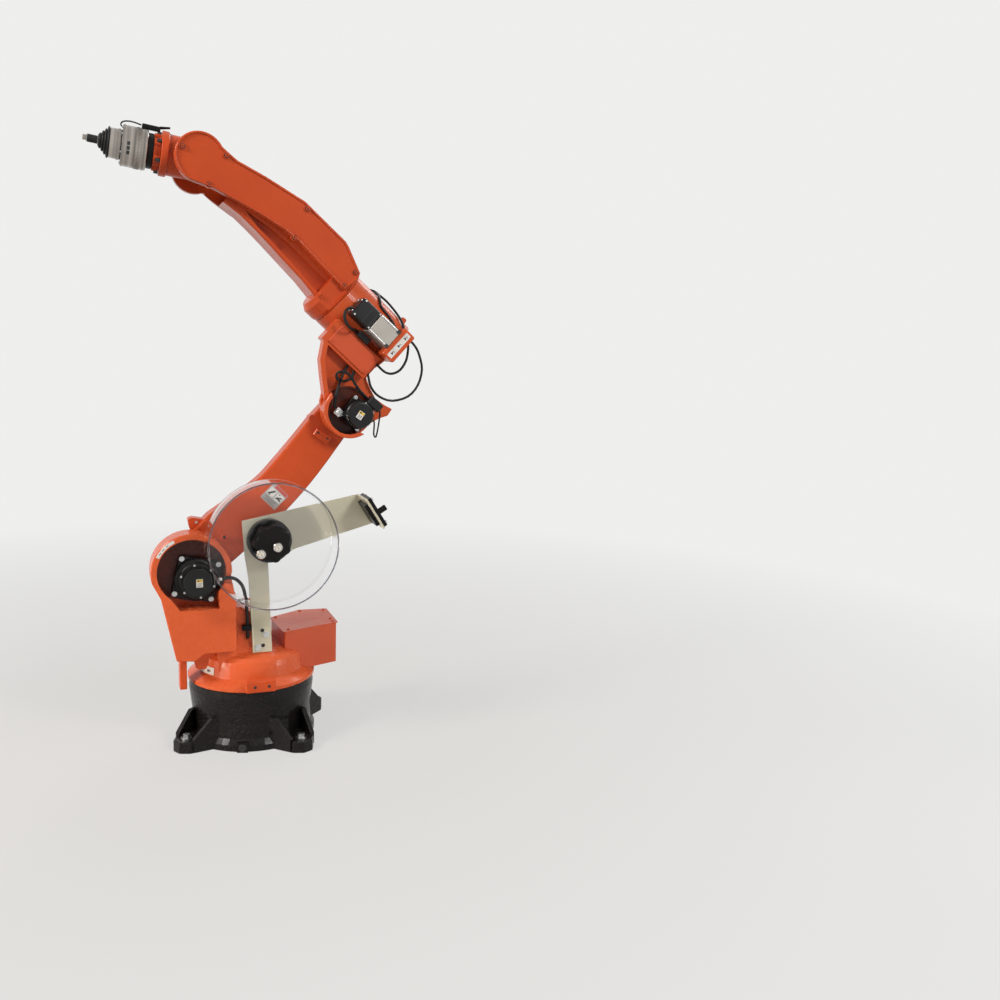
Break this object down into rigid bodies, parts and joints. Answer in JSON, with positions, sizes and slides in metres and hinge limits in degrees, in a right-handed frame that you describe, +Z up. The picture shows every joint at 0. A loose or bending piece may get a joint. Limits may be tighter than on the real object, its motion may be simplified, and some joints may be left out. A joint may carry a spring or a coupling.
{
  "type": "industrial robot arm",
  "caption": "Articulated arc-welding robot arm: splayed cast base, turning column with open motor pocket, lower arm, elbow, long forearm, wrist, torch body and a wire spool holder.",
  "frame": {"origin": "centre of the base on the floor, on the turning axis", "axes": "+Z up along the turning axis, +X the way the base faces, +Y towards the side with the motor pockets and the spool holder"},
  "size_m": [0.826, 0.4195, 1.5757],
  "materials": {
    "orange_paint": "glossy orange enamel over cast metal",
    "black_paint": "gloss black enamel over rough cast iron",
    "motor_black": "satin black motor paint",
    "black_plastic": "moulded black plastic",
    "grey_green_paint": "pale grey-green sheet metal paint",
    "bright_steel": "turned bright steel",
    "cast_aluminium": "bare motor housing",
    "cable_black": "black cable jacket",
    "clear_plastic": "clear plastic"
  },
  "bodies": {
    "base": {"base_casting": "black_paint"},
    "column": {"column_casting": "orange_paint", "skirt_stop_block": "orange_paint", "hanging_stop_lug": "orange_paint", "rear_box": "orange_paint", "rear_box_lid": "orange_paint", "j2_motor_flange": "motor_black", "j2_motor_body": "motor_black", "j2_motor_cap": "motor_black", "spool_bracket": "grey_green_paint", "feeder_insulator_plate": "black_plastic", "feeder_stub": "black_plastic", "spool_hub_disc": "black_plastic", "spool_hub_knob": "black_plastic", "spool_clamp_nut_a": "bright_steel", "spool_clamp_nut_b": "bright_steel", "spool_cover": "clear_plastic", "j2_motor_plug": "motor_black", "j2_motor_cable": "cable_black", "cable_clamp": "black_plastic", "feeder_insulator_inner": "black_plastic"},
    "lower_arm": {"lower_arm_casting": "orange_paint"},
    "elbow": {"elbow_casting": "orange_paint", "elbow_side_cover": "orange_paint", "j3_motor_flange": "motor_black", "j3_motor_body": "motor_black", "j3_motor_cap": "motor_black", "roll_motor_body": "cast_aluminium", "roll_motor_encoder": "motor_black", "j3_motor_plug": "motor_black", "j3_brake_plug": "cast_aluminium", "roll_motor_plug": "motor_black", "j3_motor_cable": "cable_black", "j3_brake_cable": "cable_black", "j3_signal_cable": "cable_black", "roll_motor_cable": "cable_black", "short_cable_loop": "cable_black", "long_cable_loop": "cable_black", "tube_cable_a": "cable_black", "tube_cable_b": "cable_black"},
    "forearm": {"forearm_casting": "orange_paint", "forearm_cover": "orange_paint"},
    "wrist": {"wrist_housing": "orange_paint"},
    "tool": {"tool_flange": "orange_paint", "insulator_ring": "black_plastic", "sensor_base": "bright_steel", "sensor_head": "bright_steel", "torch_boot": "black_plastic", "torch_neck": "black_plastic", "torch_nozzle": "bright_steel", "sensor_plug": "black_plastic", "sensor_cable": "cable_black"}
  },
  "joints": [
    {"name": "turn", "type": "hinge", "parent": "base", "child": "column", "pos_m": [0, 0, 0], "axis": [0, 0, 1], "range_deg": [-183.5, 150.5]},
    {"name": "shoulder", "type": "hinge", "parent": "column", "child": "lower_arm", "pos_m": [0.15821, 0.04686, 0.477], "axis": [-0.284, 0.9588, 0], "range_deg": [-15, 135]},
    {"name": "elbow", "type": "hinge", "parent": "lower_arm", "child": "elbow", "pos_m": [-0.23096, -0.06841, 0.88288], "axis": [0.284, -0.9588, 0], "range_deg": [-68, 88]},
    {"name": "roll", "type": "hinge", "parent": "elbow", "child": "forearm", "pos_m": [-0.21755, -0.06444, 1.17671], "axis": [0.7125, 0.2111, 0.6691], "range_deg": [-150, 150]},
    {"name": "wrist_bend", "type": "hinge", "parent": "forearm", "child": "wrist", "pos_m": [0.12162, 0.03603, 1.49521], "axis": [-0.284, 0.9588, 0], "range_deg": [-150, 80]},
    {"name": "tool_turn", "type": "hinge", "parent": "wrist", "child": "tool", "pos_m": [0.20536, 0.06083, 1.50594], "axis": [0.9517, 0.2819, 0.1219], "range_deg": [-360, 360]}
  ]
}
